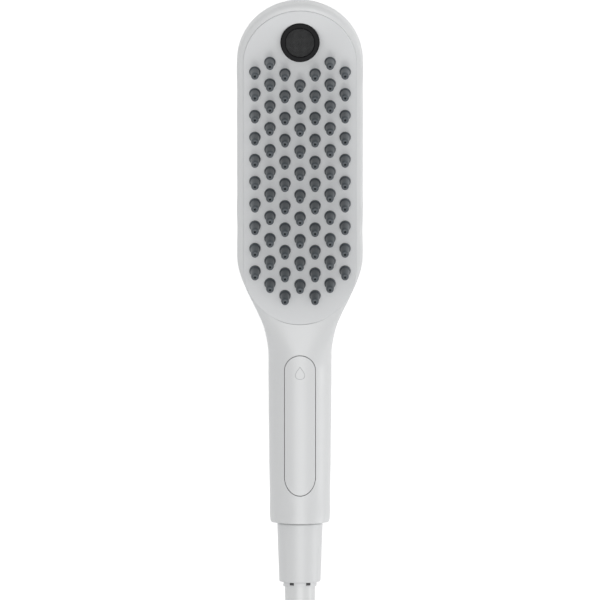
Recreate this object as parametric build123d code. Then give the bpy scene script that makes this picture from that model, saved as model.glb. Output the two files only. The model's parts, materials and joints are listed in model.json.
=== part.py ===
from build123d import *
import math
import os

# A handheld bath sprayer: a round handle that widens into a long, slightly hollow spray head,
# and a swivelling hose.  Everything is modelled in the handset's own frame, in millimetres:
# the handle's axis is +Y with its lower end at Y = 0, and the spray side faces +Z.
# The last section lays the handset on its back on Z = 0.

# ---- Handle and housing shell ----
HANDLE_END_RADIUS = 15.9
HANDLE_NECK_RADIUS = 17.0
NECK_Y = 92.0
SHELL_WALL = 2.4
END_WALL = 3.0

# ---- Spray head ----
FACE_START_Y = 106.2
FACE_START_Z = 17.5
FACE_START_SLOPE = 4.0
FACE_RADIUS = 620.0
FACE_LENGTH = 173.0
FACE_WIDTH = 60.0
RIM_WIDTH = 3.4
RIM_DEPTH = 7.0
HEAD_THICKNESS = 24.0
BELLY_LENGTH = 20.0
FLARE_LENGTH = 51.0
FRONT_RISE = 30.0
FRONT_FLATNESS = 5.0
BACK_FLATNESS = 2.6
BODY_SECTIONS = 21
SECTION_POINTS = 40

# ---- Face plate, nub mat and water chamber ----
DRAW_TILT = 13.4
PLATE_THICKNESS = 2.5
SKIRT_DEPTH = 9.0
SKIRT_WALL = 2.0
PLATE_SEAM = 0.05
PLATE_EDGE_FILLET = 0.3
MAT_THICKNESS = 1.5
CHAMBER_HEIGHT = 6.5
TRAY_WALL = 1.8
TOWER_WALL = 0.8
FIT = 0.2
RUNNING_GAP = 0.3

# ---- Nubs ----
NUB_COLUMN_PITCH = 7.94
NUB_ROW_PITCH = 12.2
NUB_FIRST_S = 21.7
NUB_ARCH = 1.2
NUB_HEIGHT = 9.9
NUB_ROOT_RADIUS = 2.95
NUB_TIP_RADIUS = 2.05
NUB_BORE_RADIUS = 0.6
NUB_LEAN_LOW = 16.2
NUB_LEAN_HIGH = 10.6
# rows left out below and above in the columns 0, 1, 2 and 3 pitches off the centre line
NUB_COLUMNS = ((0, 1), (0, 0), (0, 0), (1, 0))

# ---- Jet nozzle ----
JET_S = FACE_LENGTH - 17.6
JET_CLEAR = 8.0
JET_RADIUS = 10.2
JET_BORE_RADIUS = 7.6
JET_LEDGE = 1.0
JET_SOCKET_WALL = 1.6
JET_RISE = 0.3
MESH_RECESS = 0.5
MESH_THICKNESS = 0.8
MESH_HOLE = 1.2
STRAIGHTENER_HEIGHT = 3.0
STRAIGHTENER_HOLE = 1.3
JET_ORING_WIRE = 1.2
JET_GROOVE_SEAT = 0.4

# ---- Mode button ----
BUTTON_BOTTOM_Y = 15.2
BUTTON_TOP_Y = 89.4
BUTTON_WIDTH = 15.8
BUTTON_BOTTOM_ROUNDING = 9.7
BUTTON_GAP = 0.5
BUTTON_WALL = 2.0
BUTTON_TRAVEL = 2.0
PIVOT_Y = 22.0
PIVOT_Z = 8.0
PIN_RADIUS = 1.2
PIN_LENGTH = 21.6
LUG_THICKNESS = 3.0
BARREL_RADIUS = 2.7

# ---- Selector valve ----
VALVE_Y = 80.0
VALVE_RADIUS = 11.0
VALVE_BOTTOM_Z = -9.0
VALVE_TOP_Z = 7.0
VALVE_BASE = 5.0
VALVE_WALL = 1.8
CAP_THICKNESS = 2.0
CAP_SPIGOT = 0.6
CRADLE_WIDTH = 12.0
CRADLE_LENGTH = 16.0
OUTLET_WIDTH = 17.2
DISC_THICKNESS = 1.8
PORT_RADIUS = 2.0
PORT_OFFSET = 4.3
STEM_RADIUS = 2.5
COLLAR_RADIUS = 5.6
COLLAR_THICKNESS = 1.2
ROTOR_RADIUS = 3.2
ROTOR_HEIGHT = 2.6
ROTOR_TEETH = 6
PLUNGER_SPRING_WIRE = 0.6
PLUNGER_SPRING_RADIUS = 4.6
PLUNGER_SPRING_TURNS = 2.5
STEM_ORING_WIRE = 1.2

# ---- Water way from the handle's end to the head ----
DUCT_RADIUS = 6.0
DUCT_WALL = 1.4
SPIGOT_LENGTH = 7.0
OUTLET_GASKET = 1.0
PORT_S = 15.0
MANIFOLD_WALL = 1.2
MANIFOLD_HEIGHT = 6.0
JET_DUCT_HEIGHT = 5.0

# ---- Threaded inlet and cone nut ----
THREAD_RADIUS = 10.48
NIPPLE_LENGTH = 14.0
NIPPLE_BORE = 5.0
FLANGE_RADIUS = 13.0
FLANGE_THICKNESS = 3.0
CONE_TOP_RADIUS = 12.05
CONE_BOTTOM_RADIUS = 11.0
CONE_LENGTH = 31.2
CONE_GAP = 0.8
CONE_EDGE_FILLET = 0.7
WASHER_THICKNESS = 1.6
WASHER_RADIUS = 9.3
WASHER_BORE = 5.2
ORING_WIRE = 1.5

# ---- Hose and its fittings ----
HOSE_RADIUS = 8.0
TAIL_SHANK_RADIUS = 6.8
TAIL_FLANGE = 2.2
BARB_RADIUS = 5.2
TAIL_BORE = 3.8
SHOULDER = 2.5
SWIVEL_RING_RADIUS = 8.9
SWIVEL_RING_LENGTH = 2.4
SWIVEL_SLOTS = 6
SWIVEL_SLOT_WIDTH = 2.7
SWIVEL_SLOT_LENGTH = 1.6
SWIVEL_SLOT_DEPTH = 2.6

END_NUT_RADIUS = 12.4
END_THREAD_RADIUS = 9.7
END_THREAD_LENGTH = 9.4
END_NUT_FLUTES = 12
FLUTE_RADIUS = 1.6

COIL_RADIUS = 82.0
COIL_CENTRE = (-58.0, -300.0)
COIL_LAYERS = 3
# the route after the handset's end, down to the coil's top turn, and that of the free end
HOSE_ROUTE = (
    (0, -192, 33.4), (7, -224, 36.3), (17.5, -254, 38.8), (23.2, -277, 39.8), (24, -299.8, 40)
)
END_ROUTE = ((-140, -299.8, 8), (-140, -280, 8.4), (-140.6, -258, 12.2), (-141.5, -232, 12.7))

# ---- Screws ----
SCREW_RADIUS = 1.5
SCREW_HEAD_RADIUS = 2.6
SCREW_HEAD_HEIGHT = 1.8
SCREW_LENGTH = 10.0
BOSS_RADIUS = 3.2
SCREW_PLACES = ((14.0, 14.0), (19.5, FACE_LENGTH - 17.0))

# ---- Rest pose ----
REST_TILT = 5.5

# longer than the head is thick, for tools that cut right through it
REACH = 60.0
ON_BASE = (Align.CENTER, Align.CENTER, Align.MIN)
UNDER = (Align.CENTER, Align.CENTER, Align.MAX)
TRAY_TOP = PLATE_THICKNESS + MAT_THICKNESS
NUB_ROWS = 1 + int((JET_S - JET_CLEAR - NUB_FIRST_S) / NUB_ROW_PITCH)
TRAY_FLOOR = TRAY_TOP + CHAMBER_HEIGHT
TRAY_BOTTOM = TRAY_FLOOR + TRAY_WALL
FACE_ARC = FACE_LENGTH - FACE_WIDTH / 2
HEAD_HALF_WIDTH = FACE_WIDTH / 2 + RIM_WIDTH
CONE_END_Y = -CONE_GAP - CONE_LENGTH
HOSE_EXIT_Y = CONE_END_Y - SWIVEL_RING_LENGTH
TAIL_TOP_Y = -NIPPLE_LENGTH - WASHER_THICKNESS
SCREW_SEAT = TRAY_FLOOR - 1.5
BASE_TOP_Z = VALVE_BOTTOM_Z + VALVE_BASE
OUTLET_Z = VALVE_BOTTOM_Z + VALVE_BASE / 2
SELECTOR_Z = BASE_TOP_Z + DISC_THICKNESS + 0.1
COLLAR_Z = VALVE_TOP_Z - CAP_SPIGOT - COLLAR_THICKNESS - FIT
PUSHER_Z = VALVE_TOP_Z + CAP_THICKNESS + BUTTON_TRAVEL + 0.4
RIB_BOTTOM_Z = PIVOT_Z + BARREL_RADIUS + RUNNING_GAP
JET_SOCKET_RADIUS = JET_RADIUS + JET_SOCKET_WALL
JET_GROOVE_DEPTH = JET_ORING_WIRE - 0.05


# ================= Shape of the head =================

def face_angle(s):
    """Slope of the spray face, in degrees, at the arc length s from its lower end."""
    return FACE_START_SLOPE + math.degrees(min(s, FACE_ARC) / FACE_RADIUS)


def face_point(s, depth=0.0):
    """Point on the face's centre line at arc length s, moved down its normal by depth.

    The face is an arc that turns into a flat at the head's round end.
    """
    start = math.radians(FACE_START_SLOPE)
    angle = math.radians(face_angle(s))
    flat = max(0.0, s - FACE_ARC)
    y = FACE_START_Y + FACE_RADIUS * (math.sin(angle) - math.sin(start))
    z = FACE_START_Z + FACE_RADIUS * (math.cos(start) - math.cos(angle))
    y += flat * math.cos(angle) + depth * math.sin(angle)
    z += flat * math.sin(angle) - depth * math.cos(angle)
    return Vector(0, y, z)


def leaning_plane(origin, lean):
    """Plane at origin whose normal leans from +Z towards the handle by lean degrees."""
    angle = math.radians(lean)
    return Plane(origin=origin, x_dir=(1, 0, 0), z_dir=(0, -math.sin(angle), math.cos(angle)))


def face_plane(s, x=0.0, lean=None):
    """Plane on the face at arc length s and x, square to the face unless a lean is given."""
    lean = face_angle(s) if lean is None else lean
    return leaning_plane(face_point(s) + Vector(x, 0, 0), lean)


def face_slab(top, bottom, start=-14.0, end=FACE_LENGTH + 14.0, centre=0.0, half_width=45.0):
    """Layer of the head between two depths below the face."""
    middle = (start + FACE_ARC) / 2
    edges = [
        ThreePointArc(face_point(start, top), face_point(middle, top), face_point(FACE_ARC, top)),
        Line(face_point(FACE_ARC, top), face_point(end, top)),
        Line(face_point(end, top), face_point(end, bottom)),
        Line(face_point(end, bottom), face_point(FACE_ARC, bottom)),
        ThreePointArc(
            face_point(FACE_ARC, bottom), face_point(middle, bottom), face_point(start, bottom)
        ),
        Line(face_point(start, bottom), face_point(start, top)),
    ]
    layer = extrude(make_face(edges), amount=half_width, dir=(1, 0, 0), both=True)
    return Pos(centre, 0, 0) * layer


def smooth_step(value, start, end):
    """Ease from 0 to 1 as value goes from start to end."""
    t = min(1.0, max(0.0, (value - start) / (end - start)))
    return t * t * (3 - 2 * t)


JET_Y = face_point(JET_S).Y
JET_TILT = math.tan(math.radians(face_angle(JET_S)))
JET_TOP_Z = face_point(JET_S).Z + JET_RADIUS * JET_TILT + JET_RISE
JET_FLOOR = face_point(JET_S, TRAY_FLOOR)
JET_SEAT_Z = JET_FLOOR.Z + (JET_Y + JET_RADIUS - JET_FLOOR.Y) * JET_TILT
DRAW_PLANE = leaning_plane((face_point(0) + face_point(FACE_LENGTH)) / 2, DRAW_TILT)


def stadium_prism(inset):
    """Prism of the face's stadium outline, drawn in by inset, along the moulding direction."""
    run = face_point(FACE_LENGTH) - face_point(0)
    length = run.dot(DRAW_PLANE.y_dir) - 2 * inset
    outline = SlotOverall(length, FACE_WIDTH - 2 * inset, rotation=90)
    return extrude(DRAW_PLANE * outline, amount=REACH, both=True)


def handle_radius(y):
    """Outer radius of the tapered handle at y."""
    return HANDLE_END_RADIUS + (HANDLE_NECK_RADIUS - HANDLE_END_RADIUS) * y / NECK_Y


def section_at(top, lean, half_width, front, back, flatness, inset):
    """Closed section of the body: a superellipse, flatter in front than behind.

    |x/a|^n + |z/f|^n = 1 in front of the widest line and |x/a|^m + |z/b|^m = 1 behind it.
    """
    front_power, back_power = flatness
    plane = leaning_plane(top, lean)
    points = []
    for index in range(SECTION_POINTS):
        turn = 2 * math.pi * index / SECTION_POINTS - math.pi / 2
        across, up = round(math.cos(turn), 9), round(math.sin(turn), 9)
        power = front_power if up > 0 else back_power
        height = (front if up > 0 else back) - inset
        x = math.copysign(abs(across) ** (2 / power), across) * (half_width - inset)
        z = math.copysign(abs(up) ** (2 / power), up) * height - front
        points.append(plane.origin + plane.x_dir * x + plane.z_dir * z)
    return Face(Wire([Edge.make_spline(points, periodic=True)]))


def body_section(y, inset):
    """Section of the body whose top lies y along the handle, or y along the face from there."""
    radius = handle_radius(min(y, NECK_Y))
    widen = smooth_step(y, NECK_Y, NECK_Y + FLARE_LENGTH)
    flatten = smooth_step(y, NECK_Y - 8, NECK_Y + 0.6 * FLARE_LENGTH)
    half_width = radius + (HEAD_HALF_WIDTH - radius) * widen
    front = radius + (RIM_DEPTH - radius) * flatten
    flatness = (2 + (FRONT_FLATNESS - 2) * flatten, 2 + (BACK_FLATNESS - 2) * widen)
    s = y - FACE_START_Y
    if s < 0:
        join = smooth_step(y, NECK_Y - FRONT_RISE, FACE_START_Y)
        top = Vector(0, y, radius + (FACE_START_Z - radius) * join ** 2)
        lean = FACE_START_SLOPE * join
    else:
        top = face_point(s)
        lean = face_angle(s)
    slim = smooth_step(s, BELLY_LENGTH, FACE_ARC)
    thickness = 2 * radius + (HEAD_THICKNESS - 2 * radius) * slim
    return section_at(top, lean, half_width, front, thickness - front, flatness, inset)


def body_solid(inset, lower_end):
    """The sprayer's body from lower_end to the round top, drawn in by inset.

    The shaft is a loft of evenly spaced sections; the top is its last section turned half round.
    """
    step = (FACE_START_Y + FACE_ARC - lower_end) / (BODY_SECTIONS - 1)
    sections = [body_section(lower_end + step * index, inset) for index in range(BODY_SECTIONS)]
    plane = face_plane(FACE_ARC)
    half = plane * Pos(REACH, 0, 0) * Box(2 * REACH, REACH, 2 * REACH)
    axis = Axis(plane.origin, plane.z_dir)
    return loft(sections) + revolve(sections[-1] & half, axis=axis, revolution_arc=180)


def turned_y(outline):
    """Piece turned about the handle's axis, from its outline of (radius, y) points."""
    return revolve(make_face(Polyline(*outline, close=True)), axis=Axis.Y)


def turned_z(outline):
    """Piece turned about +Z through the origin, from its outline of (radius, z) points."""
    points = [(radius, 0, z) for radius, z in outline]
    return revolve(make_face(Polyline(*points, close=True)), axis=Axis.Z)


def rod(radius, start, end):
    """Plain round rod between two points."""
    start, end = Vector(start), Vector(end)
    plane = Plane(origin=start, z_dir=end - start)
    return plane * Cylinder(radius, (end - start).length, align=ON_BASE)


def mirrored(shape):
    """The shape together with its mirror image across the plane X = 0."""
    return [shape, mirror(shape, about=Plane.YZ)]


# ================= Housing =================

def pill_prism(grow, bottom):
    """Prism of the button's outline grown by grow: round at the top, egg-shaped below."""
    half = BUTTON_WIDTH / 2 + grow
    top = BUTTON_TOP_Y - BUTTON_WIDTH / 2
    low = BUTTON_BOTTOM_Y + BUTTON_BOTTOM_ROUNDING
    outline = Pos(0, (top + low) / 2) * Rectangle(2 * half, top - low)
    outline += Pos(0, top) * Circle(half)
    outline += Pos(0, low) * Ellipse(half, BUTTON_BOTTOM_ROUNDING + grow)
    return Pos(0, 0, bottom) * extrude(outline, amount=REACH)


def screw_spots():
    """Planes of the four chamber screws, on the face and along the moulding direction."""
    return [face_plane(s, side * x, DRAW_TILT) for x, s in SCREW_PLACES for side in (-1, 1)]


def make_housing():
    """One-piece shell with the face opening, the button opening and its inner bosses."""
    body = body_solid(0, 0)
    shell = body - body_solid(SHELL_WALL, END_WALL)
    shell -= stadium_prism(-PLATE_SEAM) & face_slab(-REACH, SKIRT_DEPTH + FIT)
    shell -= pill_prism(BUTTON_GAP, PIVOT_Z / 2)
    shell -= rod(THREAD_RADIUS + FIT, (0, -1, 0), (0, END_WALL + 1, 0))
    boss_start = BUTTON_WIDTH / 2 + BUTTON_GAP + FIT
    pin_boss = rod(BARREL_RADIUS, (boss_start, PIVOT_Y, PIVOT_Z), (REACH, PIVOT_Y, PIVOT_Z))
    cradle = Pos(0, VALVE_Y, VALVE_BOTTOM_Z) * Box(
        CRADLE_WIDTH, CRADLE_LENGTH, REACH, align=UNDER
    )
    below_tray = face_slab(TRAY_BOTTOM, REACH)
    added = [*mirrored(pin_boss), cradle]
    for plane in screw_spots():
        added.append(plane * Cylinder(BOSS_RADIUS, REACH, align=UNDER) & below_tray)
    for piece in added:
        shell += piece & body
    pin_reach = PIN_LENGTH / 2 + FIT
    shell -= rod(PIN_RADIUS, (-pin_reach, PIVOT_Y, PIVOT_Z), (pin_reach, PIVOT_Y, PIVOT_Z))
    for plane in screw_spots():
        hole_top = -SCREW_SEAT - SCREW_LENGTH
        shell -= plane * Pos(0, 0, hole_top) * Cylinder(SCREW_RADIUS, SCREW_LENGTH + 9, align=ON_BASE)
    return shell


# ================= Face plate, nub mat and water chamber =================

def nub_places():
    """Arc length and x of every nub: staggered columns whose rows arch upwards."""
    places = []
    for column, (first, left_out) in enumerate(NUB_COLUMNS):
        x = column * NUB_COLUMN_PITCH
        stagger = -NUB_ROW_PITCH / 2 if column % 2 else 0.0
        arch = NUB_ARCH * (x / (FACE_WIDTH * 0.4)) ** 2
        for row in range(first, NUB_ROWS - left_out):
            s = NUB_FIRST_S + stagger + arch + NUB_ROW_PITCH * row
            places += [(s, x), (s, -x)] if column else [(s, x)]
    return places


def nub_plane(s, x):
    """Plane at a nub's foot, its normal along the nub, which leans more at the lower rows."""
    share = (s - NUB_FIRST_S) / (FACE_ARC - NUB_FIRST_S)
    return face_plane(s, x, NUB_LEAN_LOW + (NUB_LEAN_HIGH - NUB_LEAN_LOW) * share)


def make_face_plate():
    """Stadium cover with a skirt, a hole for each nub and one for the jet nozzle."""
    plate = stadium_prism(0) & face_slab(0, SKIRT_DEPTH)
    rim = [edge for edge in plate.edges() if edge_depth(edge) < 0.1]
    plate = fillet(rim, PLATE_EDGE_FILLET)
    plate -= stadium_prism(SKIRT_WALL) & face_slab(PLATE_THICKNESS, SKIRT_DEPTH + 5)
    holes = [nub_plane(s, x) * Cylinder(NUB_ROOT_RADIUS + FIT / 2, 10) for s, x in nub_places()]
    holes.append(Pos(face_point(JET_S)) * Cylinder(JET_RADIUS + FIT, REACH))
    return plate - holes


def edge_depth(edge):
    """Depth of an edge's middle point below the face."""
    point = edge.center()
    start = math.radians(FACE_START_SLOPE)
    y = point.Y - FACE_START_Y + FACE_RADIUS * math.sin(start)
    z = point.Z - FACE_START_Z - FACE_RADIUS * math.cos(start)
    flat = face_plane(FACE_ARC).to_local_coords(point)
    if flat.Y > 0:
        return -flat.Z
    return math.hypot(y, z) - FACE_RADIUS


def make_nub_mat():
    """Silicone sheet with a hollow tapered nub over every jet hole."""
    sheet = stadium_prism(SKIRT_WALL + FIT) & face_slab(PLATE_THICKNESS, TRAY_TOP)
    sheet -= Pos(face_point(JET_S)) * Cylinder(JET_SOCKET_RADIUS + FIT, REACH)
    foot = PLATE_THICKNESS + MAT_THICKNESS / 2
    nub = Cone(NUB_ROOT_RADIUS, NUB_TIP_RADIUS, NUB_HEIGHT + foot, align=ON_BASE)
    nub = Pos(0, 0, -foot) * nub
    bore = Cylinder(NUB_BORE_RADIUS, REACH)
    places = [nub_plane(s, x) for s, x in nub_places()]
    return sheet.fuse(*[plane * nub for plane in places]).cut(*[plane * bore for plane in places])


def make_chamber_tray():
    """Water tray behind the mat, with screw towers, the jet socket and two inlet ports."""
    outline = stadium_prism(SKIRT_WALL + FIT)
    tray = outline & face_slab(TRAY_TOP, TRAY_BOTTOM)
    tray -= stadium_prism(SKIRT_WALL + FIT + TRAY_WALL) & face_slab(0, TRAY_FLOOR)
    tower_layer = outline & face_slab(TRAY_TOP, TRAY_BOTTOM)
    for plane in screw_spots():
        tray += plane * Cylinder(BOSS_RADIUS + TOWER_WALL, REACH) & tower_layer
    socket = Pos(face_point(JET_S)) * Cylinder(JET_SOCKET_RADIUS, REACH)
    tray += socket & face_slab(PLATE_THICKNESS, TRAY_BOTTOM)
    jet = face_point(JET_S)
    tray -= Pos(0, jet.Y, JET_SEAT_Z) * Cylinder(JET_RADIUS + FIT / 2, REACH, align=ON_BASE)
    below_seat = Pos(0, jet.Y, 0) * Cylinder(JET_RADIUS - JET_LEDGE, JET_SEAT_Z + 1, align=ON_BASE)
    tray -= below_seat & face_slab(0, TRAY_FLOOR)
    for plane in screw_spots():
        tray -= plane * Pos(0, 0, -SCREW_SEAT) * Cylinder(SCREW_HEAD_RADIUS + FIT, REACH, align=ON_BASE)
        tray -= plane * Cylinder(SCREW_RADIUS + FIT, REACH)
    tray -= face_plane(PORT_S, PORT_OFFSET) * Cylinder(PORT_RADIUS, REACH)
    tray -= face_plane(JET_S, -PORT_OFFSET) * Cylinder(PORT_RADIUS, REACH)
    return tray


def make_chamber_screws():
    """Four pan-head screws that hold the tray on the housing's bosses."""
    screw = Pos(0, 0, -SCREW_SEAT) * Cylinder(SCREW_HEAD_RADIUS, SCREW_HEAD_HEIGHT, align=ON_BASE)
    shank = Pos(0, 0, -SCREW_SEAT) * Cylinder(SCREW_RADIUS, SCREW_LENGTH, align=UNDER)
    screw += shank
    screw -= Pos(0, 0, -SCREW_SEAT + 0.8) * Box(0.8, 4, 5, align=ON_BASE)
    return Compound(children=[plane * screw for plane in screw_spots()])


# ================= Jet nozzle =================

def make_jet_ring():
    """Stepped ring that holds the jet's mesh, square to the handle, with a seal groove."""
    groove_floor = JET_RADIUS - JET_GROOVE_DEPTH
    groove_low = JET_SEAT_Z + JET_GROOVE_SEAT
    groove_high = groove_low + JET_ORING_WIRE + FIT
    ledge_z = JET_TOP_Z - MESH_RECESS - MESH_THICKNESS - STRAIGHTENER_HEIGHT
    ring = turned_z([
        (JET_BORE_RADIUS, JET_TOP_Z), (JET_RADIUS, JET_TOP_Z), (JET_RADIUS, groove_high),
        (groove_floor, groove_high), (groove_floor, groove_low), (JET_RADIUS, groove_low),
        (JET_RADIUS, JET_SEAT_Z), (JET_BORE_RADIUS - JET_LEDGE, JET_SEAT_Z),
        (JET_BORE_RADIUS - JET_LEDGE, ledge_z), (JET_BORE_RADIUS, ledge_z),
    ])
    top_edges = [e for e in ring.edges() if abs(e.center().Z - JET_TOP_Z) < 0.01]
    return Pos(0, JET_Y, 0) * chamfer(top_edges, 0.4)


def make_jet_mesh():
    """Perforated disc that closes the jet nozzle."""
    top = JET_TOP_Z - MESH_RECESS
    disc = Pos(0, JET_Y, top) * Cylinder(JET_BORE_RADIUS - FIT / 2, MESH_THICKNESS, align=UNDER)
    hole = Pos(0, JET_Y, top) * Box(MESH_HOLE, MESH_HOLE, REACH)
    return disc - [Pos(place.position) * hole for place in GridLocations(2 * MESH_HOLE, 2 * MESH_HOLE, 5, 5)]


def make_jet_straightener():
    """Disc with a ring of holes that straightens the jet before the mesh."""
    top = JET_TOP_Z - MESH_RECESS - MESH_THICKNESS
    disc = Pos(0, JET_Y, top) * Cylinder(JET_BORE_RADIUS - FIT / 2, STRAIGHTENER_HEIGHT, align=UNDER)
    hole = Pos(0, JET_Y, top) * Cylinder(STRAIGHTENER_HOLE, REACH)
    places = [Pos(0, 0)] + list(PolarLocations(4.4, 6))
    return disc - [Pos(place.position) * hole for place in places]


def ring_seal(middle_radius, wire, plane):
    """O-ring in a plane."""
    return plane * Torus(middle_radius, wire / 2)


# ================= Mode button =================

def cone_body(inset):
    """The handle's tapered outside, drawn in by inset."""
    end = NECK_Y + 10
    return turned_y([(0, 0), (handle_radius(0) - inset, 0), (handle_radius(end) - inset, end), (0, end)])


def make_mode_button():
    """Long thumb button, flush with the handle, with pivot lugs and a pusher for the plunger."""
    outline = pill_prism(0, 0)
    button = (outline & cone_body(0)) - cone_body(BUTTON_WALL)
    shape = outline & cone_body(0.5)
    lug_x = BUTTON_WIDTH / 2 - LUG_THICKNESS / 2 - 0.4
    for side in (-1, 1):
        barrel = rod(
            BARREL_RADIUS,
            (side * lug_x - LUG_THICKNESS / 2, PIVOT_Y, PIVOT_Z),
            (side * lug_x + LUG_THICKNESS / 2, PIVOT_Y, PIVOT_Z),
        )
        web = Pos(side * lug_x, PIVOT_Y, PIVOT_Z) * Box(
            LUG_THICKNESS, 2 * BARREL_RADIUS, 10, align=ON_BASE
        )
        rib = Pos(side * lug_x, (PIVOT_Y + VALVE_Y) / 2 - 6, RIB_BOTTOM_Z) * Box(
            1.2, VALVE_Y - PIVOT_Y - 24, 10, align=ON_BASE
        )
        button += barrel
        button += web & shape
        button += rib & shape
    pusher = Pos(0, VALVE_Y, PUSHER_Z) * Cylinder(STEM_RADIUS + 0.5, 10, align=ON_BASE)
    button += pusher & shape
    return button - rod(PIN_RADIUS + 0.1, (-REACH, PIVOT_Y, PIVOT_Z), (REACH, PIVOT_Y, PIVOT_Z))


# ================= Selector valve =================

def on_valve(piece):
    """Move a piece made about the Z axis to the valve's axis."""
    return Pos(0, VALVE_Y, 0) * piece


def make_valve_body():
    """Valve cup with a side inlet spigot and two outlet channels in its thick base."""
    bore = VALVE_RADIUS - VALVE_WALL
    cup = on_valve(turned_z([
        (0, VALVE_BOTTOM_Z), (VALVE_RADIUS, VALVE_BOTTOM_Z), (VALVE_RADIUS, VALVE_TOP_Z),
        (bore, VALVE_TOP_Z), (bore, BASE_TOP_Z), (0, BASE_TOP_Z),
    ]))
    spigot_end = VALVE_Y - VALVE_RADIUS - SPIGOT_LENGTH
    spigot_radius = DUCT_RADIUS - DUCT_WALL - FIT
    cup += rod(spigot_radius, (0, spigot_end, 0), (0, VALVE_Y - bore - 0.2, 0))
    outlets = Pos(0, VALVE_Y, VALVE_BOTTOM_Z) * Box(
        OUTLET_WIDTH, VALVE_RADIUS, VALVE_BASE, align=(Align.CENTER, Align.MIN, Align.MIN)
    )
    cup += outlets
    cup -= rod(spigot_radius - 1.2, (0, spigot_end - 1, 0), (0, VALVE_Y - bore + 1, 0)) & (
        Pos(0, VALVE_Y, BASE_TOP_Z) * Box(REACH, REACH, REACH, align=ON_BASE)
    )
    for side in (-1, 1):
        x = side * PORT_OFFSET
        cup -= rod(PORT_RADIUS * 0.8, (x, VALVE_Y, OUTLET_Z), (x, VALVE_Y, BASE_TOP_Z + 1))
        cup -= rod(PORT_RADIUS * 0.8, (x, VALVE_Y, OUTLET_Z), (x, VALVE_Y + VALVE_RADIUS + 1, OUTLET_Z))
    return cup


def make_valve_cap():
    """Cap with a guide for the plunger's stem and a gland for its seal."""
    bore = VALVE_RADIUS - VALVE_WALL - FIT
    guide = STEM_RADIUS + FIT
    gland = STEM_RADIUS + STEM_ORING_WIRE + FIT
    top = VALVE_TOP_Z + CAP_THICKNESS
    return on_valve(turned_z([
        (guide, VALVE_TOP_Z - CAP_SPIGOT), (bore, VALVE_TOP_Z - CAP_SPIGOT), (bore, VALVE_TOP_Z),
        (VALVE_RADIUS, VALVE_TOP_Z), (VALVE_RADIUS, top), (gland, top),
        (gland, top - STEM_ORING_WIRE - FIT), (guide, top - STEM_ORING_WIRE - FIT),
    ]))


def make_port_disc():
    """Fixed ceramic disc with the two outlet ports."""
    radius = VALVE_RADIUS - VALVE_WALL - FIT
    disc = Pos(0, 0, BASE_TOP_Z) * Cylinder(radius, DISC_THICKNESS, align=ON_BASE)
    ports = [Pos(side * PORT_OFFSET, 0, BASE_TOP_Z) * Cylinder(PORT_RADIUS, 8) for side in (-1, 1)]
    return on_valve(disc - ports)


def make_selector_disc():
    """Turning ceramic disc: its one port meets the shower port, the jet port or neither."""
    radius = VALVE_RADIUS - VALVE_WALL - RUNNING_GAP
    disc = Pos(0, 0, SELECTOR_Z) * Cylinder(radius, DISC_THICKNESS, align=ON_BASE)
    return on_valve(disc - Pos(PORT_OFFSET, 0, SELECTOR_Z) * Cylinder(PORT_RADIUS, 8))


def make_index_rotor():
    """Toothed hub on the selector disc; the plunger's slanted teeth turn it step by step."""
    top = SELECTOR_Z + DISC_THICKNESS
    hub = Pos(0, 0, top) * Cylinder(ROTOR_RADIUS, ROTOR_HEIGHT, align=ON_BASE)
    notch = Pos(0, 0, top + ROTOR_HEIGHT) * Rot(0, 30, 0) * Box(1.0, 20, 1.0)
    return on_valve(hub - [Rot(0, 0, 60 * turn) * notch for turn in range(ROTOR_TEETH // 2)])


def make_plunger():
    """Domed stem with the collar that the return spring lifts."""
    stem_top = PUSHER_Z - RUNNING_GAP
    stem = Pos(0, 0, COLLAR_Z) * Cylinder(STEM_RADIUS, stem_top - COLLAR_Z, align=ON_BASE)
    stem = chamfer(stem.edges().group_by(Axis.Z)[-1], 0.6)
    collar = Pos(0, 0, COLLAR_Z) * Cylinder(COLLAR_RADIUS, COLLAR_THICKNESS, align=ON_BASE)
    return on_valve(stem + collar)


def make_plunger_spring():
    """Return spring between the selector disc and the plunger's collar."""
    low = SELECTOR_Z + DISC_THICKNESS + PLUNGER_SPRING_WIRE / 2 + 0.05
    height = COLLAR_Z - PLUNGER_SPRING_WIRE / 2 - 0.05 - low
    path = Helix(height / PLUNGER_SPRING_TURNS, height, PLUNGER_SPRING_RADIUS)
    start = Plane(origin=path @ 0, z_dir=path % 0)
    coil = sweep(start * Circle(PLUNGER_SPRING_WIRE / 2), path=path)
    return on_valve(Pos(0, 0, low) * coil)


# ================= Water way =================

def make_inlet_duct():
    """Straight duct from the threaded inlet to the valve."""
    start = END_WALL + FLANGE_THICKNESS + FIT
    end = VALVE_Y - VALVE_RADIUS - 0.6
    tube = rod(DUCT_RADIUS, (0, start, 0), (0, end, 0))
    return tube - rod(DUCT_RADIUS - DUCT_WALL, (0, start - 1, 0), (0, end + 1, 0))


def make_outlet_gasket():
    """Flat rubber seal between the valve's outlets and the manifold."""
    start = VALVE_Y + VALVE_RADIUS
    sheet = Pos(0, start, OUTLET_Z) * Box(
        OUTLET_WIDTH, OUTLET_GASKET, VALVE_BASE - 0.4, align=(Align.CENTER, Align.MIN, Align.CENTER)
    )
    holes = [
        rod(PORT_RADIUS * 0.8, (side * PORT_OFFSET, start - 1, OUTLET_Z),
            (side * PORT_OFFSET, start + 5, OUTLET_Z))
        for side in (-1, 1)
    ]
    return sheet - holes


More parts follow.
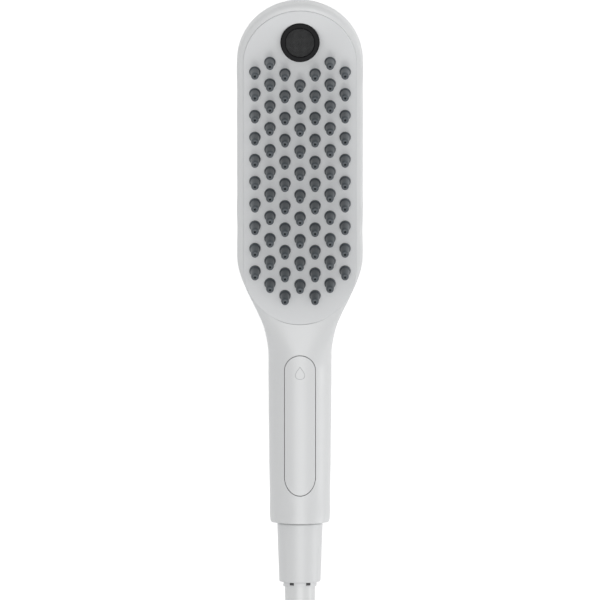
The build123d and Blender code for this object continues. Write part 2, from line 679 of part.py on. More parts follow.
def make_manifold_duct():
    """Twin duct that climbs from the valve's outlets to the tray's underside."""
    start = VALVE_Y + VALVE_RADIUS + OUTLET_GASKET
    low = OUTLET_Z - VALVE_BASE / 2 + 0.2
    high = OUTLET_Z + VALVE_BASE / 2 - 0.2
    tray_low = face_point(PORT_S - 7, TRAY_BOTTOM)
    tray_high = face_point(PORT_S + 7, TRAY_BOTTOM)
    side = make_face(Polyline(
        (0, start, low), (0, start + 10, low), tray_high - Vector(0, 0, MANIFOLD_HEIGHT),
        tray_high, tray_low, (0, start + 7, high), (0, start, high), close=True,
    ))
    duct = extrude(side, amount=OUTLET_WIDTH / 2, dir=(1, 0, 0), both=True)
    hollow = offset(side, amount=-MANIFOLD_WALL)
    for sign in (-1, 1):
        x = sign * PORT_OFFSET
        channel = Pos(x, 0, 0) * extrude(hollow, amount=PORT_OFFSET - MANIFOLD_WALL, dir=(1, 0, 0), both=True)
        duct -= channel
        duct -= rod(PORT_RADIUS * 0.8, (x, start - 1, OUTLET_Z), (x, start + 3, OUTLET_Z))
    duct -= face_plane(PORT_S, PORT_OFFSET) * Pos(0, 0, -TRAY_BOTTOM) * Cylinder(PORT_RADIUS, 4)
    end = face_point(PORT_S + 7, TRAY_BOTTOM + MANIFOLD_HEIGHT / 2)
    duct -= Pos(-PORT_OFFSET, end.Y, end.Z) * Box(3, 4, 2)
    return duct - face_slab(0, TRAY_BOTTOM)


def make_jet_duct():
    """Flat duct under the tray that carries water to the jet nozzle."""
    start = PORT_S + 7.2
    end = JET_S + 7
    half = PORT_OFFSET - 0.3
    bottom = TRAY_BOTTOM + JET_DUCT_HEIGHT
    duct = face_slab(TRAY_BOTTOM, bottom, start, end, -PORT_OFFSET, half)
    duct -= face_slab(TRAY_BOTTOM + 1, bottom - 1, start - 1, end - 1, -PORT_OFFSET, half - 1)
    return duct - face_plane(JET_S, -PORT_OFFSET) * Pos(0, 0, -TRAY_BOTTOM) * Cylinder(PORT_RADIUS, 4)


# ================= Threaded inlet, cone nut and hose swivel =================

def make_inlet_nipple():
    """Threaded nipple, held by its flange behind the handle's end wall."""
    inside = END_WALL + FLANGE_THICKNESS
    hub = DUCT_RADIUS + 1.8
    socket = DUCT_RADIUS + FIT / 2
    groove = FLANGE_RADIUS - ORING_WIRE - 0.1
    return turned_y([
        (NIPPLE_BORE, -NIPPLE_LENGTH), (THREAD_RADIUS, -NIPPLE_LENGTH), (THREAD_RADIUS, END_WALL),
        (groove, END_WALL), (groove, END_WALL + ORING_WIRE + 0.1),
        (FLANGE_RADIUS, END_WALL + ORING_WIRE + 0.1), (FLANGE_RADIUS, inside), (hub, inside),
        (hub, inside + 6), (socket, inside + 6), (socket, inside), (NIPPLE_BORE, inside),
    ])


def make_cone_nut():
    """Tapered coupling nut that screws on the nipple and holds the hose tail's flange."""
    top = -CONE_GAP
    shoulder = TAIL_TOP_Y - TAIL_FLANGE - FIT
    nut = turned_y([
        (THREAD_RADIUS + 0.05, top), (CONE_TOP_RADIUS, top), (CONE_BOTTOM_RADIUS, CONE_END_Y),
        (SWIVEL_RING_RADIUS + RUNNING_GAP, CONE_END_Y),
        (SWIVEL_RING_RADIUS + RUNNING_GAP, shoulder - SHOULDER),
        (TAIL_SHANK_RADIUS + RUNNING_GAP, shoulder - SHOULDER),
        (TAIL_SHANK_RADIUS + RUNNING_GAP, shoulder), (WASHER_RADIUS + RUNNING_GAP, shoulder),
        (WASHER_RADIUS + RUNNING_GAP, -NIPPLE_LENGTH), (THREAD_RADIUS + 0.05, -NIPPLE_LENGTH),
    ])
    rims = nut.edges().filter_by(GeomType.CIRCLE)
    outer_rims = rims.filter_by(lambda edge: edge.radius > CONE_BOTTOM_RADIUS - 0.01)
    return fillet(outer_rims, CONE_EDGE_FILLET)


def washer(top):
    """Flat sealing washer whose upper face is at y = top."""
    ring = rod(WASHER_RADIUS, (0, top, 0), (0, top - WASHER_THICKNESS, 0))
    return ring - rod(WASHER_BORE, (0, top + 1, 0), (0, top - WASHER_THICKNESS - 1, 0))


def make_swivel_tail():
    """Hose tail: a flange in the cone nut, a turned shank and a barb inside the ferrule."""
    low = TAIL_TOP_Y - TAIL_FLANGE
    shank_end = low - SHOULDER - 1.0
    return turned_y([
        (TAIL_BORE, TAIL_TOP_Y), (WASHER_RADIUS, TAIL_TOP_Y), (WASHER_RADIUS, low),
        (TAIL_SHANK_RADIUS, low), (TAIL_SHANK_RADIUS, shank_end), (BARB_RADIUS, shank_end),
        (BARB_RADIUS, HOSE_EXIT_Y), (TAIL_BORE, HOSE_EXIT_Y),
    ])


def make_hose_ferrule():
    """Crimped sleeve round the hose tail, inside the cone nut."""
    start = TAIL_TOP_Y - TAIL_FLANGE - SHOULDER - 1.0
    end = CONE_END_Y
    sleeve = rod(SWIVEL_RING_RADIUS - 0.3, (0, start, 0), (0, end, 0))
    return sleeve - rod(BARB_RADIUS, (0, start + 1, 0), (0, end - 1, 0))


def make_swivel_ring():
    """Slotted ring at the cone's mouth, which turns with the hose."""
    ring = rod(SWIVEL_RING_RADIUS, (0, CONE_END_Y, 0), (0, HOSE_EXIT_Y, 0))
    ring -= rod(BARB_RADIUS, (0, CONE_END_Y + 1, 0), (0, HOSE_EXIT_Y - 1, 0))
    for slot in range(SWIVEL_SLOTS):
        turn = 360 / SWIVEL_SLOTS * (slot + 0.5)
        notch = Pos(0, CONE_END_Y, SWIVEL_RING_RADIUS) * Box(
            SWIVEL_SLOT_WIDTH, 2 * SWIVEL_SLOT_LENGTH, 2 * SWIVEL_SLOT_DEPTH
        )
        ring -= Rot(0, turn, 0) * notch
    return ring


def make_end_nut():
    """Fluted coupling nut at the hose's far end, which screws on a tap or mixer."""
    mouth = TAIL_TOP_Y + WASHER_THICKNESS + END_THREAD_LENGTH
    shoulder = TAIL_TOP_Y - TAIL_FLANGE - FIT
    base = shoulder - SHOULDER
    thread_end = mouth - END_THREAD_LENGTH
    relief = END_THREAD_RADIUS + RUNNING_GAP
    nut = turned_y([
        (END_THREAD_RADIUS, mouth), (END_NUT_RADIUS, mouth), (END_NUT_RADIUS, base),
        (TAIL_SHANK_RADIUS + RUNNING_GAP, base), (TAIL_SHANK_RADIUS + RUNNING_GAP, shoulder),
        (relief, shoulder), (relief, thread_end), (END_THREAD_RADIUS, thread_end),
    ])
    rims = nut.edges().filter_by(GeomType.CIRCLE)
    nut = chamfer(rims.filter_by(lambda edge: edge.radius > END_NUT_RADIUS - 0.01), 0.8)
    flute_start = (0, base - 1, END_NUT_RADIUS + FLUTE_RADIUS * 0.6)
    flute = rod(FLUTE_RADIUS, flute_start, (0, mouth - 3, flute_start[2]))
    return nut - [Rot(0, 360 / END_NUT_FLUTES * turn, 0) * flute for turn in range(END_NUT_FLUTES)]


# ================= Hose =================

def corner_radius(before, corner, after):
    """Largest easy radius at a corner of the hose's route: 0.45 of its shorter run."""
    arriving, leaving = corner - before, after - corner
    turn = math.radians(arriving.get_angle(leaving))
    return 0.45 * min(arriving.length, leaving.length) / math.tan(turn / 2)


def hose_tube(points, radius):
    """Round tube along straight runs joined by tangent arcs."""
    corners = range(1, len(points) - 1)
    radii = [corner_radius(*points[index - 1:index + 2]) for index in corners]
    path = FilletPolyline(*points, radius=radii)
    start = Plane(origin=path @ 0, z_dir=path % 0)
    return sweep(start * Circle(radius), path=path)


def make_hose_coil(routes):
    """Closed solid round the coil's turns: level behind, and climbing one layer in front.

    The hose that comes in over it and the end that leaves under it are cut clear.
    """
    x, y = COIL_CENTRE
    inner, outer = COIL_RADIUS - HOSE_RADIUS, COIL_RADIUS + HOSE_RADIUS
    layer = 2 * HOSE_RADIUS
    height = COIL_LAYERS * layer
    ring = Cylinder(outer, height, align=ON_BASE) - Cylinder(inner, height, align=ON_BASE)
    ring = Pos(x, y, 0) * ring
    level = Pos(x, y, 0) * Box(2 * outer, outer, height, align=(Align.CENTER, Align.MAX, Align.MIN))
    climb = make_face(Polyline(
        (x - outer, y, layer), (x + outer, y, 0), (x + outer, y, height - layer),
        (x - outer, y, height), close=True,
    ))
    climbing = extrude(climb, amount=outer, dir=(0, 1, 0))
    coil = (ring & level) + (ring & climbing)
    return coil - [hose_tube(route, HOSE_RADIUS + RUNNING_GAP) for route in routes]


# ================= Assembly: lay the handset on its back and write every piece =================

housing = make_housing()
cone_nut = make_cone_nut()
turned = Rot(-REST_TILT, 0, 0)
boxes = [(turned * piece).bounding_box() for piece in (housing, cone_nut)]
low_y = min(box.min.Y for box in boxes)
high_y = max(box.max.Y for box in boxes)
low_z = min(box.min.Z for box in boxes)
REST = Pos(0, -(low_y + high_y) / 2, -low_z) * turned
os.makedirs("parts", exist_ok=True)

handset = {
    "housing": housing,
    "face_plate": make_face_plate(),
    "nub_mat": make_nub_mat(),
    "chamber_tray": make_chamber_tray(),
    "chamber_screws": make_chamber_screws(),
    "jet_ring": make_jet_ring(),
    "jet_mesh": make_jet_mesh(),
    "jet_straightener": make_jet_straightener(),
    "jet_oring": ring_seal(
        JET_RADIUS - JET_GROOVE_DEPTH + JET_ORING_WIRE / 2 + 0.02,
        JET_ORING_WIRE,
        Plane((0, JET_Y, JET_SEAT_Z + JET_GROOVE_SEAT + JET_ORING_WIRE / 2 + FIT / 2)),
    ),
    "mode_button": make_mode_button(),
    "button_pin": rod(
        PIN_RADIUS, (-PIN_LENGTH / 2, PIVOT_Y, PIVOT_Z), (PIN_LENGTH / 2, PIVOT_Y, PIVOT_Z)
    ),
    "valve_body": make_valve_body(),
    "valve_cap": make_valve_cap(),
    "port_disc": make_port_disc(),
    "selector_disc": make_selector_disc(),
    "index_rotor": make_index_rotor(),
    "plunger": make_plunger(),
    "plunger_spring": make_plunger_spring(),
    "plunger_oring": ring_seal(
        STEM_RADIUS + STEM_ORING_WIRE / 2 + FIT / 2,
        STEM_ORING_WIRE,
        Plane((0, VALVE_Y, VALVE_TOP_Z + CAP_THICKNESS - STEM_ORING_WIRE / 2 - FIT / 2)),
    ),
    "inlet_duct": make_inlet_duct(),
    "outlet_gasket": make_outlet_gasket(),
    "manifold_duct": make_manifold_duct(),
    "jet_duct": make_jet_duct(),
    "inlet_nipple": make_inlet_nipple(),
    "inlet_oring": ring_seal(
        FLANGE_RADIUS - ORING_WIRE / 2,
        ORING_WIRE,
        Plane(origin=(0, END_WALL + ORING_WIRE / 2 + 0.05, 0), z_dir=(0, 1, 0)),
    ),
    "inlet_washer": washer(-NIPPLE_LENGTH),
    "cone_nut": cone_nut,
    "swivel_tail": make_swivel_tail(),
    "hose_ferrule": make_hose_ferrule(),
    "swivel_ring": make_swivel_ring(),
}
for name, piece in handset.items():
    export_step(REST * piece, f"parts/{name}.step")

# ---- Hose: its route from the handset to the coil, the coil, and its free end ----
exit_place = REST * Pos(0, HOSE_EXIT_Y, 0)
hose_start = exit_place.position
hose_route = [hose_start] + [Vector(*point) for point in HOSE_ROUTE]
end_route = [Vector(*point) for point in END_ROUTE]
hose = {
    "hose_run": hose_tube(hose_route, HOSE_RADIUS),
    "hose_coil": make_hose_coil([hose_route, end_route]),
    "hose_end_run": hose_tube(end_route, HOSE_RADIUS),
}
along = end_route[-1] - end_route[-2]
END_PLACE = Plane(origin=end_route[-1], x_dir=(1, 0, 0), z_dir=along).location
TO_END = END_PLACE * Rot(90, 0, 0) * Pos(0, -HOSE_EXIT_Y, 0)
end_fittings = {
    "end_tail": make_swivel_tail(),
    "end_ferrule": make_hose_ferrule(),
    "end_collar": make_swivel_ring(),
    "end_washer": washer(TAIL_TOP_Y + WASHER_THICKNESS),
    "end_nut": make_end_nut(),
}
for name, piece in end_fittings.items():
    hose[name] = TO_END * piece
for name, piece in hose.items():
    export_step(piece, f"parts/{name}.step")
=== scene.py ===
import json
import math

import bpy
import numpy as np
from mathutils import Matrix, Vector


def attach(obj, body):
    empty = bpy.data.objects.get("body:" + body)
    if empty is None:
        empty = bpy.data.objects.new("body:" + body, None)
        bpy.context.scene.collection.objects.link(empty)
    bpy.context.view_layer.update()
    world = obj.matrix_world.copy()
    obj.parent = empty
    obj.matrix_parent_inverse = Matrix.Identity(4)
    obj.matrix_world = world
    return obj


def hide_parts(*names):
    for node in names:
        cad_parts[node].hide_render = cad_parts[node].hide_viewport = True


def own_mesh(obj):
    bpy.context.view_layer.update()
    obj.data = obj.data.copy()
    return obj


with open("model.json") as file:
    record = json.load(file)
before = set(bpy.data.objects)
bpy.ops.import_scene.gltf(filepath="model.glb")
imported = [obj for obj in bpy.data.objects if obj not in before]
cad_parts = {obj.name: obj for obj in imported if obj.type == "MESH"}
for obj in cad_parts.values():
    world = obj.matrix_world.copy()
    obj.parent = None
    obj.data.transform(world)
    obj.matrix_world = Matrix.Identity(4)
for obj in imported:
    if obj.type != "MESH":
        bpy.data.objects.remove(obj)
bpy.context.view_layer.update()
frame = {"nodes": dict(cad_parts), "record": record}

# ---- The handset's own directions ----
# The sprayer lies on its back, a little tilted. Its handle's axis and the direction out of the
# handle's front are taken from the joints, and every piece on it is worked out in those.
JOINTS = {joint["name"]: joint for joint in frame["record"]["behaviour"]["joints"]}
MM = 0.001
VALVE_Y = 80.0
ACROSS = np.array([1.0, 0.0, 0.0])
ALONG = np.array(JOINTS["hose_swivel"]["axis"])
OUTWARD = -np.array(JOINTS["selector_turn"]["axis"])
HANDLE_END = np.array(JOINTS["selector_turn"]["pos_m"]) - VALVE_Y * MM * ALONG


def laid(x, y, z):
    """Points of the handset in the row frame: its lower end plus x, y and z millimetres of it."""
    x, y, z = (MM * np.asarray(part, float)[..., None] for part in (x, y, z))
    return HANDLE_END + x * ACROSS + y * ALONG + z * OUTWARD


# ---- Room, light and camera ----
# A white room: floor and surroundings look white to the camera and in reflections. Two lamps
# light the sprayer softly, from above and from its right, and three only add shine to it.
AMBIENT = 0.65
FLOOR_ALBEDO = 0.8
FLOOR_LIFT = 0.62
FLOOR_CORNERS = ((-30, -30, 0), (30, -30, 0), (30, 30, 0), (-30, 30, 0))
# each lamp's name, place, width, depth and power; a shine is seen only in reflections
LAMPS = (
    ("key_lamp", (0.0, 0.45, 3.4), 1.5, 1.5, 8.0),
    ("side_lamp", (2.2, 0.0, 0.22), 0.44, 0.44, 7.5),
    ("overhead_shine", (0.0, 0.25, 3.4), 2.8, 0.8, 68.0),
    ("front_shine", (0.0, -2.0, 2.9), 1.2, 1.2, 38.0),
    ("side_shine", (2.2, 0.0, 0.22), 0.44, 0.44, 4.0),
)
VIEW_TILT = math.radians(5.0)
VIEW_CENTRE_Y = 117.45
CAMERA_DISTANCE = 9.0
LENS, SENSOR_WIDTH = 1018.0, 36.0
CLIP_START, CLIP_END = 0.1, 60.0


class Socket:
    """An output of a shader node. Arithmetic on it adds Math nodes; node() adds any other one."""

    def __init__(self, tree, socket=None):
        self.tree, self.socket = tree, socket

    def node(self, kind, settings=None, inputs=None, output=0):
        made = self.tree.nodes.new(kind)
        for name, value in (settings or {}).items():
            setattr(made, name, value)
        for name, value in (inputs or {}).items():
            if isinstance(value, Socket):
                self.tree.links.new(value.socket, made.inputs[name])
            else:
                made.inputs[name].default_value = value
        return Socket(self.tree, made.outputs[output]) if len(made.outputs) else None

    def maths(self, operation, *values):
        return self.node("ShaderNodeMath", {"operation": operation}, dict(enumerate(values)))

    def __add__(self, other):
        return self.maths("ADD", self, other)

    def __sub__(self, other):
        return self.maths("SUBTRACT", self, other)

    def __rsub__(self, other):
        return self.maths("SUBTRACT", other, self)

    def __mul__(self, other):
        return self.maths("MULTIPLY", self, other)

    def larger(self, other):
        return self.maths("MAXIMUM", self, other)

    __radd__ = __add__


def seen_directly(start):
    """1 for a camera, glossy or transmission ray, and 0 for a ray that carries light."""
    rays = [start.node("ShaderNodeLightPath", output=name)
            for name in ("Is Camera Ray", "Is Glossy Ray", "Is Transmission Ray")]
    return rays[0].larger(rays[1]).larger(rays[2])


world = bpy.data.worlds.new("white_room")
world.use_nodes = True
world.node_tree.nodes.clear()
air = Socket(world.node_tree)
direct = seen_directly(air)
glow = air.node("ShaderNodeBackground",
                inputs={"Color": (1, 1, 1, 1), "Strength": direct + (1 - direct) * AMBIENT})
air.node("ShaderNodeOutputWorld", inputs={"Surface": glow})
bpy.context.scene.world = world

floor_mesh = bpy.data.meshes.new("floor")
floor_mesh.from_pydata(FLOOR_CORNERS, [], [(0, 1, 2, 3)])
floor = bpy.data.objects.new("floor", floor_mesh)
bpy.context.scene.collection.objects.link(floor)
floor_paint = bpy.data.materials.new("white_floor")
floor_paint.use_nodes = True
floor_paint.node_tree.nodes.clear()
paint = Socket(floor_paint.node_tree)
matt = paint.node("ShaderNodeBsdfDiffuse", inputs={"Color": (FLOOR_ALBEDO,) * 3 + (1,)})
lift = paint.node("ShaderNodeEmission",
                  inputs={"Color": (1, 1, 1, 1), "Strength": seen_directly(paint) * FLOOR_LIFT})
both = paint.node("ShaderNodeAddShader", inputs={0: matt, 1: lift})
paint.node("ShaderNodeOutputMaterial", inputs={"Surface": both})
floor_mesh.materials.append(floor_paint)

for name, place, width, depth, power in LAMPS:
    lamp = bpy.data.lights.new(name, "AREA")
    lamp.shape, lamp.size, lamp.size_y, lamp.energy = "RECTANGLE", width, depth, power
    lamp_object = bpy.data.objects.new(name, lamp)
    lamp_object.location = place
    lamp_object.rotation_euler = (-Vector(place)).to_track_quat("-Z", "Y").to_euler()
    lamp_object.visible_camera = False
    lamp_object.visible_diffuse = not name.endswith("shine")
    bpy.context.scene.collection.objects.link(lamp_object)

target = Vector(laid(0, VIEW_CENTRE_Y / math.cos(VIEW_TILT), 0))
back = Vector(OUTWARD * math.cos(VIEW_TILT) + ALONG * math.sin(VIEW_TILT))
camera = bpy.data.cameras.new("camera")
camera.lens, camera.sensor_width = LENS, SENSOR_WIDTH
camera.clip_start, camera.clip_end = CLIP_START, CLIP_END
camera_object = bpy.data.objects.new("camera", camera)
right = Vector(ACROSS)
facing = Matrix([right, back.cross(right), back]).transposed()
camera_object.location = target + back * CAMERA_DISTANCE
camera_object.rotation_euler = facing.to_euler()
bpy.context.scene.collection.objects.link(camera_object)
bpy.context.scene.camera = camera_object
bpy.context.scene.view_settings.view_transform = "Standard"


# ---- Hose ----
# A smooth white hose, 16 mm across and 1.5 m long, of soft PVC over braid. It leaves the cone
# nut, sinks to the floor and ends in a neat coil behind the handle, under its supply nut.
HOSE_DIAMETER = 0.016
HOSE_COLOUR = (0.82, 0.83, 0.83)
HOSE_ROUTE = (
    (0, -0.192, 0.0334), (0.007, -0.224, 0.0363), (0.0175, -0.254, 0.0388),
    (0.0232, -0.277, 0.0398), (0.024, -0.2998, 0.040),
)
END_ROUTE = ((-0.140, -0.2998, 0.008), (-0.140, -0.280, 0.0084), (-0.1406, -0.258, 0.0122),
             (-0.1415, -0.232, 0.0127))
COIL_CENTRE, COIL_RADIUS = (-0.058, -0.300), 0.082
COIL_TURNS, TURN_POINTS = 2.5, 16
# the turns after which the hose comes down by its own diameter, and the turns that takes
COIL_FALLS, FALL_TURNS = (0.5, 1.5), 0.5
HOSE_EXIT_Y = -34.4
HOSE_ORDER, HOSE_STEPS, HOSE_ROUNDNESS = 3, 12, 10
FINE_DETAIL, BROAD_GRAIN, BROAD_DETAIL, GLOSS_SPREAD = 3.0, 45.0, 4.0, 0.12


def plain_finish(name, colour, roughness, metallic=0.0, grain=1800.0, depth=0.00002, mottle=0.015,
                 sheen=0.0, coat=0.0, specular=0.5):
    """A moulded or turned surface: noise varies its colour and gloss and lifts it a little."""
    material = bpy.data.materials.new(name)
    material.use_nodes = True
    material.node_tree.nodes.clear()
    start = Socket(material.node_tree)
    place = start.node("ShaderNodeTexCoord", output="Object")
    fine, broad = (start.node("ShaderNodeTexNoise",
                              inputs={"Vector": place, "Scale": scale, "Detail": detail})
                   for scale, detail in ((grain, FINE_DETAIL), (BROAD_GRAIN, BROAD_DETAIL)))
    shade = start.node(
        "ShaderNodeMix", {"data_type": "RGBA"},
        {"Factor": (fine + broad) * 0.5, 6: tuple((1 - mottle) * c for c in colour) + (1,),
         7: tuple(min(1.0, (1 + mottle) * c) for c in colour) + (1,)}, output=2)
    bump = start.node("ShaderNodeBump",
                      inputs={"Height": fine, "Distance": depth, "Strength": 1.0})
    surface = start.node(
        "ShaderNodeBsdfPrincipled",
        inputs={"Base Color": shade, "Roughness": roughness + (broad - 0.5) * GLOSS_SPREAD,
                "Metallic": metallic, "Sheen Weight": sheen, "Coat Weight": coat, "Normal": bump,
                "Specular IOR Level": specular})
    start.node("ShaderNodeOutputMaterial", inputs={"Surface": surface})
    return material


route = [laid(0, HOSE_EXIT_Y, 0), *HOSE_ROUTE]
for step in range(1, round(COIL_TURNS * TURN_POINTS)):
    turn = step / TURN_POINTS
    falls = sum(min(max((turn - start) / FALL_TURNS, 0), 1) for start in COIL_FALLS)
    route.append((COIL_CENTRE[0] + COIL_RADIUS * math.cos(2 * math.pi * turn),
                  COIL_CENTRE[1] - COIL_RADIUS * math.sin(2 * math.pi * turn),
                  HOSE_ROUTE[-1][2] - HOSE_DIAMETER * falls))
route += END_ROUTE

hose_curve = bpy.data.curves.new("hose", "CURVE")
hose_curve.dimensions = "3D"
hose_line = hose_curve.splines.new("NURBS")
hose_line.points.add(len(route) - 1)
for point, place in zip(hose_line.points, route):
    point.co = (*place, 1.0)
hose_line.order_u, hose_line.use_endpoint_u = HOSE_ORDER, True
hose_line.resolution_u = HOSE_STEPS
hose_curve.bevel_depth, hose_curve.bevel_resolution = HOSE_DIAMETER / 2, HOSE_ROUNDNESS
hose_curve.use_fill_caps = True
hose = bpy.data.objects.new("hose", hose_curve)
bpy.context.scene.collection.objects.link(hose)
hose_curve.materials.append(
    plain_finish("white_hose", HOSE_COLOUR, roughness=0.34, depth=0.00001, sheen=0.1))
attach(hose, "hose")
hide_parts("hose_run", "hose_coil", "hose_end_run")


# ---- White shell, face plate, button and nuts ----
# Injection-moulded ABS, satin and white. The plate is darker than the shell: partly its own tone,
# partly painted shade for the nubs' shadow on it. The shell and the plate are split along the
# face's edge; the cone nut and the swivel ring are separate mouldings.
WHITE = (0.80, 0.81, 0.815)
# the plate's white: a little darker by its own tone, and darker still by painted shade
PLATE_WHITE_AND_SHADE = (0.745, 0.757, 0.767)
white_plastic = plain_finish("white_plastic", WHITE, roughness=0.40)


def coat_nodes(material, *names):
    """Gives rigid nodes this finish in place of their plain one."""
    for name in names:
        mesh = frame["nodes"][name].data
        mesh.materials.clear()
        mesh.materials.append(material)


coat_nodes(white_plastic, "housing", "mode_button", "cone_nut", "swivel_ring", "end_nut",
           "end_collar")
coat_nodes(plain_finish("plate_plastic_and_shade", PLATE_WHITE_AND_SHADE, roughness=0.40), "face_plate")


# ---- Shell and button outlines ----
# Both are the rigid ones, a little reshaped: the head's sides keep to one width, its end is drawn
# in, the neck runs evenly into the handle, and the gap round the button is finer.
HEAD_STRAIGHT, HEAD_GIVE = 32.9, 0.6
RIM_INNER, RIM_OUTER = 30.6, 33.0
END_RADIUS, END_DRAW, END_BLEND = 33.4, 0.8, 15.0
# for each swell of the handle's sides, where it is, over what length, and how far it goes out
NECK_SWELLS = ((83.0, 5.5, -0.45), (97.6, 5.0, 0.42))
HANDLE_END_TAPER, HANDLE_END_DRAW = 16.0, 0.42
FLANK_INNER, FLANK_OUTER = 11.0, 15.0
BUTTON_LOW_Y, BUTTON_HIGH_Y, BUTTON_HALF, BUTTON_EDGE = 24.0, 81.5, 7.9, 1.0
GAP_TAKEN_SIDE, GAP_TAKEN_END = 0.2, 0.1


def copied(name, node, body):
    """A piece in the shape of a rigid node, ready to be changed, that stands for the node."""
    piece = bpy.data.objects.new(name, frame["nodes"][node].data.copy())
    bpy.context.scene.collection.objects.link(piece)
    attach(piece, body)
    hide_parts(node)
    return piece


def eased(value):
    """Smooth step from 0 to 1."""
    value = np.clip(value, 0, 1)
    return value * value * (3 - 2 * value)


def reshape(piece, change):
    """Moves a piece's points by change(x, y), which gives how far, in millimetres."""
    flat = np.empty(3 * len(piece.data.vertices))
    piece.data.vertices.foreach_get("co", flat)
    points = flat.reshape(-1, 3)
    x = points @ ACROSS / MM
    y = (points - HANDLE_END) @ ALONG / MM
    dx, dy = change(x, y)
    points += MM * (dx[:, None] * ACROSS + dy[:, None] * ALONG)
    piece.data.vertices.foreach_set("co", points.ravel())
    piece.data.update()


def shell_change(x, y):
    """Width past HEAD_STRAIGHT gives way to w = HEAD_GIVE (1 - exp(-over / HEAD_GIVE)), the
    outer skin of the round end is drawn in, and the neck swells by grow exp(-(dy / length)^2)."""
    over = np.maximum(np.abs(x) - HEAD_STRAIGHT, 0)
    narrower = over - HEAD_GIVE * (1 - np.exp(-over / HEAD_GIVE))
    centre = y.max() - END_RADIUS
    radius = np.hypot(x, np.maximum(y - centre, 0))
    skin = eased((radius - RIM_INNER) / (RIM_OUTER - RIM_INNER))
    swell = sum(grow * np.exp(-((y - place) / length) ** 2) for place, length, grow in NECK_SWELLS)
    swell = swell - HANDLE_END_DRAW * eased(1 - y / HANDLE_END_TAPER)
    flank = eased((np.abs(x) - FLANK_INNER) / (FLANK_OUTER - FLANK_INNER))
    return (np.sign(x) * (swell * flank - narrower),
            -END_DRAW * skin * eased((y - centre) / END_BLEND + 1))


def button_change(x, y):
    """The button's side wall moves outwards, square to its outline."""
    off = y - np.clip(y, BUTTON_LOW_Y, BUTTON_HIGH_Y)
    radius = np.hypot(x, off)
    edge = eased((radius - BUTTON_HALF) / BUTTON_EDGE + 1) / np.maximum(radius, BUTTON_EDGE)
    return GAP_TAKEN_SIDE * x * edge, GAP_TAKEN_END * off * edge


reshape(copied("shell", "housing", "handset"), shell_change)
reshape(copied("thumb_button", "mode_button", "mode_button"), button_change)


# ---- Drop mark on the button ----
# A plain water drop, printed as a fine raised line near the button's upper end. It follows the
# button's round top and rocks with it.
DROP_Y = 80.4
DROP_WIDTH, DROP_HEIGHT = 5.0, 6.6
DROP_POINTS, DROP_TAPER = 96, 1.4
DROP_LINE, DROP_RAISE = 0.34, 0.05
# the printed line's section: across it in halves of DROP_LINE, and outwards in DROP_RAISE
LINE_SECTION = ((-1, -1), (-0.6, 0.8), (0, 1), (0.6, 0.8), (1, -1))
DROP_COLOUR = (0.50, 0.51, 0.52)
HANDLE_END_RADIUS, HANDLE_NECK_RADIUS, NECK_Y = 15.9, 17.0, 92.0


def grid_mesh(name, points, wrap_u=False, wrap_v=False, caps=False):
    """A mesh over stacks of point grids, shaped stacks by u by v by 3, whose rows join as quads.

    A wrapped direction joins its last line to its first one, and caps close the two v rings.
    """
    points = np.asarray(points, float)
    points = points[None] if points.ndim == 3 else points
    stacks, rows, columns, _ = points.shape
    u = np.arange(rows if wrap_u else rows - 1)
    v = np.arange(columns if wrap_v else columns - 1)
    corner = u[:, None] * columns + v
    right = u[:, None] * columns + (v + 1) % columns
    above = ((u + 1) % rows)[:, None] * columns
    quads = np.stack([corner, right, above + (v + 1) % columns, above + v], axis=-1).reshape(-1, 4)
    offsets = np.arange(stacks)[:, None, None] * rows * columns
    faces = (quads + offsets).reshape(-1, 4).tolist()
    if caps:
        first = np.arange(columns)[::-1] + offsets[:, 0]
        last = np.arange(columns) + (rows - 1) * columns + offsets[:, 0]
        faces += first.tolist() + last.tolist()
    mesh = bpy.data.meshes.new(name)
    mesh.from_pydata(points.reshape(-1, 3).tolist(), [], faces)
    mesh.polygons.foreach_set("use_smooth", [True] * len(mesh.polygons))
    mesh.update()
    made = bpy.data.objects.new(name, mesh)
    bpy.context.scene.collection.objects.link(made)
    return made


def handle_height(x, y):
    """Height of the tapered round handle's front over its axis: the root of r(y)^2 - x^2."""
    radius = HANDLE_END_RADIUS + (HANDLE_NECK_RADIUS - HANDLE_END_RADIUS) * y / NECK_Y
    return np.sqrt(radius ** 2 - x ** 2)


def drop_line():
    """A closed ribbon round a drop: x = w/2 sin t sin(t/2)^DROP_TAPER / peak, y = h/2 cos t."""
    t = np.linspace(0, 2 * math.pi, DROP_POINTS, endpoint=False)
    x = np.sin(t) * np.abs(np.sin(t / 2)) ** DROP_TAPER
    x *= DROP_WIDTH / 2 / x.max()
    y = DROP_HEIGHT / 2 * np.cos(t)
    slope = np.stack([np.roll(x, -1) - np.roll(x, 1), np.roll(y, -1) - np.roll(y, 1)])
    slope /= np.linalg.norm(slope, axis=0)
    side, lift = np.array(LINE_SECTION).T
    x = x[:, None] - DROP_LINE / 2 * side * slope[1][:, None]
    y = DROP_Y + y[:, None] + DROP_LINE / 2 * side * slope[0][:, None]
    return laid(x, y, handle_height(x, y) + DROP_RAISE * lift)


drop_mark = grid_mesh("drop_mark", drop_line(), wrap_u=True, wrap_v=True)
drop_mark.data.materials.append(plain_finish("drop_print", DROP_COLOUR, roughness=0.5))
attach(drop_mark, "mode_button")


# ---- Nub mat ----
# One moulding of dark grey silicone: a mat behind the face plate, and 74 soft hollow nubs that
# come through the plate's holes, each with a foot, a leaning taper and a round bored tip.
FACE_START_Y, FACE_START_Z, FACE_START_SLOPE = 106.2, 17.5, 4.0
FACE_RADIUS, FACE_LENGTH, FACE_WIDTH = 620.0, 173.0, 60.0
FACE_ARC = FACE_LENGTH - FACE_WIDTH / 2
COLUMN_PITCH, ROW_PITCH, FIRST_S = 7.94, 12.2, 21.7
ARCH, ARCH_HALF_WIDTH = 1.2, 24.0
# first row and number of rows, for the middle column and the three on each side of it
COLUMNS = ((0, 10), (0, 11), (0, 11), (1, 10))
